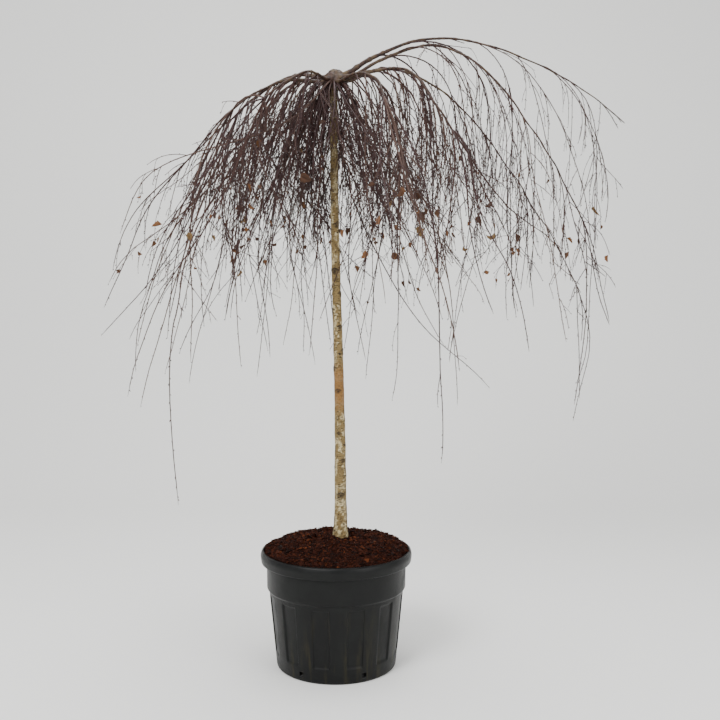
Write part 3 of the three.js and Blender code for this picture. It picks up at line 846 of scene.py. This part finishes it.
TINT_SHARES = [0.5, 0.34, 0.16]  # of each twig finish
LOOSE_BOUGHS = 2  # the first ones arch out freely over the rest of the crown
LOOSE_REACH = 1.25
LOOSE_LEADERS = 2
QUARTERS = ["back_right", "back_left", "front_left", "front_right"]


def path_lengths(paths):
    """The length of each shoot."""
    return np.linalg.norm(np.diff(paths, axis=1), axis=-1).sum(axis=1)


def grow(rng, starts, headings, lengths, droop, wander, reach, joints):
    """Shoots as (shoots, joints, 3). At each step a shoot's heading sinks by droop times the step, drifts
    by a smooth random amount of `wander` to the metre, and curls to one side towards its tip.

    Each shoot also leans on a dome of its own reach, the upper half of an egg round the stem: beyond it,
    the heading sinks PRESS times as fast and turns inwards a little, so that shoots run down its outside."""
    count = len(lengths)
    step = (lengths / (joints - 1))[:, None]
    paths = np.empty((count, joints, 3))
    paths[:, 0] = starts
    heading = unit(headings)
    drift = rng.normal(size=(count, 3))
    curl = rng.normal(0, CURL, (count, 3)) * np.array([1, 1, CURL_UPRIGHT])
    for joint in range(1, joints):
        outward = (paths[:, joint - 1] - HEAD) * np.array([1, 1, 0])
        across = np.linalg.norm(outward, axis=-1) / reach
        up = (paths[:, joint - 1, 2] - DOME_FOOT) / (DOME_TOP - DOME_FOOT)
        beyond = smooth((np.hypot(across, up) - DOME_EDGE) / DOME_BLUR)[:, None]
        drift = DRIFT_KEPT * drift + DRIFT_NEW * rng.normal(size=(count, 3))
        late = (joint / joints) ** 2
        sink = np.reshape(droop, (-1, 1)) * (1 + PRESS * beyond + HANG * late) * UP
        sink = sink + TURN_IN * beyond * unit(outward)
        heading = unit(heading + step * (wander * drift + late * curl - sink))
        paths[:, joint] = paths[:, joint - 1] + step * heading
    return paths


def offshoots(rng, paths, radii, spacing, span, angle):
    """Side shoots about `spacing` apart over a span of each parent (fractions of its length), on alternate
    sides. Returns which parent, how far along, where, the parent's radius there, and the new heading."""
    joints = paths.shape[1]
    count = np.maximum(np.round(path_lengths(paths) * (span[1] - span[0]) / spacing), 1).astype(int)
    parent = np.repeat(np.arange(len(paths)), count)
    order = np.arange(len(parent)) - np.repeat(np.cumsum(count) - count, count)
    at = span[0] + (span[1] - span[0]) * (order + rng.random(len(parent))) / count[parent]
    low = np.minimum((at * (joints - 1)).astype(int), joints - 2)
    t = (at * (joints - 1) - low)[:, None]
    here, there = paths[parent, low], paths[parent, low + 1]
    along = unit(there - here)
    level = unit(np.cross(along, UP) + LEVEL_SPREAD * rng.normal(size=along.shape))
    side = level * np.where(order % 2, 1, -1)[:, None] + rng.normal(0, SIDE_SPREAD, along.shape)
    side = unit(side - np.sum(side * along, axis=-1, keepdims=True) * along)
    lean = np.clip(rng.normal(angle, ANGLE_SPREAD, len(parent)), ANGLE_LEAST, ANGLE_MOST)[:, None]
    heading = np.cos(lean) * along + np.sin(lean) * side
    return parent, at, here + (there - here) * t, radii[parent, low], heading


def cut_back(paths, kept):
    """Each shoot, with as many joints as before, ending where `kept` (shoots, joints) first turns false."""
    joints = paths.shape[1]
    first_lost = np.where(kept.all(axis=1), joints, np.argmin(kept, axis=1))
    stop = np.clip(first_lost - 1, 1, joints - 1)
    at = stop[:, None] * np.linspace(0, 1, joints)
    low = np.minimum(at.astype(int), joints - 2)
    t = (at - low)[..., None]
    shoot = np.arange(len(paths))[:, None]
    return paths[shoot, low] * (1 - t) + paths[shoot, low + 1] * t


def taper(base, tip, joints):
    """A radius for every joint, from base down to tip, closing to a point."""
    t = np.linspace(0, 1, joints)
    radius = tip + (base[:, None] - tip) * (1 - t) ** TAPER_POWER
    radius[:, -1] *= TIP_CLOSED
    return radius


def inside(points, margin):
    """Whether each point is at least so far inside the box of the frame's solids."""
    low, high = np.array(cad_box[0]) + margin, np.array(cad_box[1]) - margin
    return (points > low).all(axis=-1) & (points < high).all(axis=-1)


def before_stem(paths):
    """Whether a shoot hangs across the clear slot in front of the stem, below the crown's dense top."""
    middle = STEM_MIDDLE[-1, 0] - paths[..., 1] * SLOT_SLANT
    across = np.abs(paths[..., 0] - middle) < SLOT_HALF
    return (across & (paths[..., 1] < SLOT_FRONT) & (paths[..., 2] < SLOT_TOP)).any(axis=1)


def bear(rng, parents, habit):
    """Side shoots of the parents, as the habit says. Returns their paths, radii, reach and parents."""
    paths, radii, reach = parents
    places = [habit[key] for key in ("spacing", "span", "angle")]
    parent, at, start, thick, heading = offshoots(rng, paths, radii, *places)
    heading = heading + habit["lift"] * UP
    reach = reach[parent] * shares(rng, *habit["reach"], len(parent))
    paths = grow_to_room(rng, start, heading, 1 - habit["outer"] * at, reach, habit)
    keep = kept(rng, paths, habit)
    base = np.clip(thick * habit["share"], *habit["thick"])
    return paths[keep], taper(base, habit["tip"], habit["joints"])[keep], reach[keep], parent[keep]


def shares(rng, low, high, crowding, count):
    """Random shares from low to high, crowded towards high by a power under 1."""
    return low + (high - low) * rng.random(count) ** crowding


def grow_to_room(rng, start, heading, scale, reach, habit):
    """Shoots of the habit's lengths (times scale), cut back to the room they have."""
    count = len(start)
    middle, spread, shortest, longest = habit["length"]
    length = np.exp(rng.normal(math.log(middle), spread, count)).clip(shortest, longest) * scale
    droop = rng.uniform(*habit["droop"], count) * DOME_REACH / reach
    paths = grow(rng, start, heading, length, droop, habit["wander"], reach, habit["joints"])
    floor = lowest(rng, reach, *habit["floor"])
    return cut_back(paths, inside(paths, ROOM) & (paths[..., 2] > floor[:, None]))


def kept(rng, paths, habit):
    """Which shoots stay: of those across the slot in front of the stem, only a share does."""
    clear = ~before_stem(paths) | (rng.random(len(paths)) < habit["spare"])
    return clear & (path_lengths(paths) > SHORTEST) & inside(paths[:, -1], TIP_ROOM)


def lowest(rng, reach, middle, spread, long_share):
    """How far down shoots hang: near `middle`, lower on the crown's outside than near the stem, and a share
    of long ones much lower."""
    outer = reach / DOME_REACH - MIDDLE_REACH
    floor = rng.normal(middle - OUTER_FALL * outer, spread, len(reach))
    long = rng.random(len(reach)) < long_share
    long_floor = rng.uniform(LONG_FOOT - LONG_FALL * (LONG_SHIFT + outer), middle - LONG_DROP, len(reach))
    return np.where(long, long_floor, floor)


def grow_crown():
    """All the shoots, thickest kind first, as a list of (paths, radii, tint, sides).

    Leaders carry the boughs on, other shoots leave the boughs and the head, twigs leave all of these, and
    sprigs leave the twigs. Each takes its parent's tint."""
    rng = np.random.default_rng(SEED)
    paths, radii = (np.array(values) for values in zip(*BOUGHS))
    reach = np.where(np.arange(len(BOUGHS)) < LOOSE_BOUGHS, LOOSE_REACH, DOME_REACH)

    again = np.repeat(np.arange(len(BOUGHS)), LEADERS)
    tips, back = paths[again, -1], paths[again, -4]
    heading = unit(tips - back) + rng.normal(0, LEADER_SPREAD, tips.shape)
    leaders = grow_to_room(rng, tips, heading, 1.0, reach[again], LEADING)
    leader_radii = taper(radii[again, -1], SHOOTS["tip"], SHOOTS["joints"])
    stays = (again >= LOOSE_BOUGHS) | (np.arange(len(again)) % LEADERS < LOOSE_LEADERS)
    stays &= inside(leaders[:, -1], TIP_ROOM)
    leading = [values[stays] for values in (leaders, leader_radii, reach[again])]
    tight = bear(rng, [values[LOOSE_BOUGHS:] for values in (paths, radii, reach)], SHOOTS)
    loose = bear(rng, [values[:LOOSE_BOUGHS] for values in (paths, radii, reach)], LOOSE)

    turn = rng.random(HEAD_SHOOTS) * 2 * np.pi
    lift = rng.uniform(*HEAD_LIFT, HEAD_SHOOTS)
    heading = direction(turn, lift)
    head_reach = DOME_REACH * shares(rng, *SHOOTS["reach"], HEAD_SHOOTS)
    heads = grow_to_room(rng, HEAD + heading * HEAD_START, heading, HEAD_LENGTH, head_reach, SHOOTS)
    keep = kept(rng, heads, SHOOTS)
    head_radii = taper(rng.uniform(*HEAD_THICK, HEAD_SHOOTS), SHOOTS["tip"], SHOOTS["joints"])

    from_head = [values[keep] for values in (heads, head_radii, head_reach)]

    shoots = [np.concatenate(values) for values in zip(leading, loose[:3], tight[:3], from_head)]
    tint = rng.choice(len(TWIG_FINISHES), len(shoots[0]), p=TINT_SHARES)
    kinds = [(*shoots[:2], tint, SHOOTS["sides"])]
    for habit in (TWIGS, SPRIGS):
        *shoots, parent = bear(rng, shoots, habit)
        tint = tint[parent]
        kinds.append((*shoots[:2], tint, habit["sides"]))
    return kinds


def quarter(points):
    """Which quarter of the plan a point lies in, counted round from +X."""
    turn = np.arctan2(points[..., 1] - HEAD[1], points[..., 0] - HEAD[0]) % (2 * np.pi)
    return (turn // (np.pi / 2)).astype(int) % 4


KNOTS = 26  # on each bough
KNOT_REACH = (0.09, 1.4)  # nearest to the head and farthest from it
KNOT_LENGTH, KNOT_SWELL = 0.006, 0.30
COLLAR_START, COLLAR_LENGTH, COLLAR_SWELL = 0.03, 0.035, 0.55  # where a bough leaves the head
BOUGH_JOINTS, BOUGH_SIDES = 190, 14
BOUGH_ROOM = 0.0005


def make_boughs():
    """Rings along each bough. Its radius swells at the head and at knots, and its bark is lumpy."""
    rng = np.random.default_rng(SEED + 12)
    for number, (path, radius) in enumerate(BOUGHS, 1):
        path, radius = resample(path, radius, BOUGH_JOINTS)
        distance = np.linalg.norm(path - HEAD, axis=1)
        knots = np.sort(rng.uniform(*KNOT_REACH, KNOTS))
        swell = np.exp(-((distance[:, None] - knots) ** 2) / KNOT_LENGTH**2).sum(axis=1).clip(0, 1)
        collar = np.exp(-(distance - COLLAR_START).clip(0) / COLLAR_LENGTH)
        thick = radius * (1 + KNOT_SWELL * swell) * (1 + COLLAR_SWELL * collar)
        points = rings(path[None], thick[None], BOUGH_SIDES)[0]
        out = points - path[:, None]
        lumps = 0.16 * noise(points, 0.024, SEED + 13) + 0.10 * noise(points, 0.009, SEED + 14)
        points = path[:, None] + out * (1 + lumps)[..., None]
        points = points.clip(np.array(cad_box[0]) + BOUGH_ROOM, np.array(cad_box[1]) - BOUGH_ROOM)
        points, faces = closed_rows(points, path[0], path[-1])
        nodes = [f"bough_{number:02d}_rise", f"bough_{number:02d}_fall"]
        make_piece(f"bough_{number:02d}_bark", points, faces, [LIMB_FINISH], nodes)


def make_twigs(kinds):
    """All shoots of one quarter of the crown joined, each with its tint. They stand for its masses."""
    masses = [name for name in NODES if name.startswith("twigs_")]
    home = {name: int(quarter(solid_points(name).mean(axis=0))) for name in masses}
    for number, name in enumerate(QUARTERS):
        points, faces, tints, total = [], [], [], 0
        for paths, radii, tint, sides in kinds:
            mine = quarter(paths.mean(axis=1)) == number
            some, parts = tubes(paths[mine], radii[mine], sides)
            points.append(some)
            for part in parts:
                faces.append(part + total)
                tints.append(np.repeat(tint[mine], len(part) // mine.sum()))
            total += len(some)
        points, tints = np.concatenate(points), np.concatenate(tints)
        nodes = [node for node in masses if home[node] == number]
        make_piece(f"twigs_{name}", points, faces, TWIG_FINISHES, nodes, tints)


BUD_PLACES = (0.029, (0.05, 1.0), 0.5)  # spacing along shoots, span and angle
BUD_LENGTHS, BUD_WIDTHS = (0.0070, 0.0105), (0.20, 0.27)  # widths are radii, in shares of the length
BUD_SHARES = [0.6, 0.4]  # of each finish
BUD_ROOM = 0.001


def make_buds(kinds):
    """Pointed buds on alternate sides of every shoot: two three-sided pyramids, base to base."""
    rng = np.random.default_rng(SEED + 15)
    all_points, all_tints, all_quarters = [], [], []
    for paths, radii, _, _ in kinds:
        _, _, start, thick, heading = offshoots(rng, paths, radii, *BUD_PLACES)
        along = unit(heading)
        count = len(start)
        long = rng.uniform(*BUD_LENGTHS, count)[:, None]
        wide = long * rng.uniform(*BUD_WIDTHS, count)[:, None]
        across = unit(np.cross(along, UP + 0.3 * rng.normal(size=along.shape)))
        over = np.cross(along, across)
        start = start + heading * thick[:, None] * 0.6
        turn = 2 * np.pi * np.arange(3) / 3
        girdle = [np.cos(a) * across + np.sin(a) * over for a in turn]
        belly = start + along * long * 0.4
        bud = [start, *(belly + wide * g for g in girdle), start + along * long]
        all_points.append(np.stack(bud, axis=1))
        all_tints.append(rng.choice(len(BUD_FINISHES), count, p=BUD_SHARES))
        all_quarters.append(quarter(start))
    points, tints, home = (np.concatenate(values) for values in (all_points, all_tints, all_quarters))
    shape = np.array([(0, 2, 1), (0, 3, 2), (0, 1, 3), (1, 2, 4), (2, 3, 4), (3, 1, 4)])
    for number, name in enumerate(QUARTERS):
        mine = (home == number) & inside(points, BUD_ROOM).all(axis=1)
        faces = repeated(shape, points.shape[1], mine.sum())
        tint = np.repeat(tints[mine], len(shape))
        make_piece(f"buds_{name}", points[mine].reshape(-1, 3), [faces], BUD_FINISHES, tints=tint)


LEAVES = 150
LEAF_SIZE, LEAF_SPREAD = 0.028, 0.30  # middle length, and how widely lengths vary
LEAF_LEAST, LEAF_MOST = 0.018, 0.055
LEAF_HEIGHT, LEAF_BAND = 1.80, 0.18  # most leaves hang about here
LEAF_STRAYS = 0.04  # how likely one is far from there, against 1
LEAF_CLEAR = 0.1  # none are this near the stem
LEAF_ROOM = 0.075
LEAF_PLACES = (0.05, (0.3, 1.0), 1.0)  # spacing along twigs, span and angle
LEAF_SHARES = [0.36, 0.34, 0.2, 0.1]  # of each finish
STALK = 0.012
STALK_RADIUS = 0.00045


def make_leaves(kinds):
    """Dry leaves that stayed on. A leaf's edge is a long oval, widest near the stalk, with saw teeth; its
    midrib bends round in an arc, and its halves fold and roll up from the midrib."""
    rng = np.random.default_rng(SEED + 16)
    twig_paths, twig_radii = kinds[1][:2]
    _, _, start, _, heading = offshoots(rng, twig_paths, twig_radii, *LEAF_PLACES)
    wanted = np.exp(-(((start[:, 2] - LEAF_HEIGHT) / LEAF_BAND) ** 2)) + LEAF_STRAYS
    wanted *= np.hypot(start[:, 0], start[:, 1]) > LEAF_CLEAR
    wanted *= inside(start, LEAF_ROOM)
    chosen = rng.choice(len(start), LEAVES, replace=False, p=wanted / wanted.sum())
    start, heading = start[chosen], heading[chosen]
    size = np.exp(rng.normal(math.log(LEAF_SIZE), LEAF_SPREAD, LEAVES)).clip(LEAF_LEAST, LEAF_MOST)[:, None]
    along = unit(heading + np.array([0, 0, -1.1]) + 0.35 * rng.normal(size=heading.shape))
    across = unit(np.cross(along, rng.normal(size=along.shape)))
    over = np.cross(along, across)
    stations = 8
    t = np.linspace(0, 1, stations)
    saw = 1 + 0.10 * (-1.0) ** np.arange(stations)
    edge = 0.46 * np.sin(np.pi * t**0.66) ** 0.7 * saw
    bend = rng.normal(0, 1.3, (LEAVES, 1))
    fold = rng.uniform(0.1, 1.0, (LEAVES, 1))
    roll = rng.uniform(0.3, 2.2, (LEAVES, 1))
    bend = np.where(np.abs(bend) < 0.05, 0.05, bend)
    rib_x, rib_y = np.sin(bend * t) / bend, (1 - np.cos(bend * t)) / bend
    points = []
    sides = (-1.0, -0.5, 0.0, 0.5, 1.0)
    for side in sides:
        lift = fold + roll * abs(side)
        out, up = side * edge * np.cos(lift), abs(side) * edge * np.sin(lift)
        x = rib_x - up * np.sin(bend * t)
        y = rib_y + up * np.cos(bend * t)
        local = sum(far[..., None] * way[:, None] for far, way in ((x, along), (y, over), (out, across)))
        points.append(local * size[:, None])
    blade = np.stack(points, axis=1) + (start + along * STALK)[:, None, None]
    blade = blade.reshape(LEAVES, -1, 3)
    faces = repeated(grid_faces(len(sides), stations, False), blade.shape[1], LEAVES)
    tint = rng.choice(len(LEAF_FINISHES), LEAVES, p=LEAF_SHARES)
    bow = start + along * STALK / 2 + 0.001 * across
    stalk = np.stack([start, bow, start + along * (STALK + 0.0005)], axis=1)
    stalk_points, stalk_faces = tubes(stalk, np.full((LEAVES, 3), STALK_RADIUS), 3)
    offset = LEAVES * blade.shape[1]
    parts = [faces] + [part + offset for part in stalk_faces]
    tints = np.concatenate([np.repeat(tint, len(part) // LEAVES) for part in parts])
    points = np.concatenate([blade.reshape(-1, 3), stalk_points])
    make_piece("dry_leaves", points, parts, LEAF_FINISHES, tints=tints)


# ---- stage ----
FLOOR_SIDE, FLOOR_FRONT, FLOOR_BACK = 9.0, -7.0, 3.0
SWEEP = 2.0  # radius of the curve from floor to backdrop
BACKDROP_TOP = 9.0
SKY = 0.9
LENS, FILM = 47.1, 36
CAMERA = (0.102, -4.0, 1.553)
CAMERA_DIP = 0.0605  # how far it looks down from level, in radians


def area_light(name, place, aim, size, power):
    """A round soft light at a place, turned towards its aim."""
    data = bpy.data.lights.new(name, "AREA")
    data.shape, data.size, data.energy = "DISK", size, power
    light = put(name, data)
    light.location = place
    light.rotation_euler = (Vector(aim) - Vector(place)).to_track_quat("-Z", "Y").to_euler()


def make_stage():
    """A pale floor that runs on up into a curved backdrop, three broad lights and the camera."""
    across = np.array([-FLOOR_SIDE, FLOOR_SIDE])
    bend = np.linspace(0, np.pi / 2, 16)[1:]
    y = np.concatenate([[FLOOR_FRONT, FLOOR_BACK], FLOOR_BACK + SWEEP * np.sin(bend), [FLOOR_BACK + SWEEP]])
    z = np.concatenate([[0.0, 0.0], SWEEP - SWEEP * np.cos(bend), [BACKDROP_TOP]])
    points = np.stack(np.broadcast_arrays(across[None, :], y[:, None], z[:, None]), axis=-1)
    mesh = bpy.data.meshes.new("studio_floor")
    faces = grid_faces(len(y), 2, False)
    mesh.from_pydata(points.reshape(-1, 3).tolist(), [], faces.tolist())
    mesh.polygons.foreach_set("use_smooth", np.ones(len(faces), bool))
    mesh.materials.append(FLOOR_FINISH)
    put("studio_floor", mesh)
    world = bpy.data.worlds.new("studio")
    world.use_nodes = True
    background = world.node_tree.nodes["Background"]
    background.inputs["Color"].default_value = (1.0, 1.0, 1.0, 1.0)
    background.inputs["Strength"].default_value = SKY
    bpy.context.scene.world = world
    area_light("key", (-2.6, -4.2, 5.0), (0, 0, 1.5), 3.0, 380)
    area_light("fill", (3.8, -3.6, 2.6), (0, 0, 1.4), 3.5, 120)
    area_light("top", (0.3, 0.6, 6.0), (0, 0, 1.5), 3.0, 160)
    camera = put("camera", bpy.data.cameras.new("camera"))
    camera.data.lens, camera.data.sensor_width = LENS, FILM
    camera.location = CAMERA
    camera.rotation_euler = (math.pi / 2 - CAMERA_DIP, 0, 0)
    bpy.context.scene.camera = camera


make_pot()
make_soil()
make_chips()
make_stem()
make_head()
make_boughs()
crown = grow_crown()
make_twigs(crown)
make_buds(crown)
make_leaves(crown)
make_stage()

bpy.context.view_layer.update()
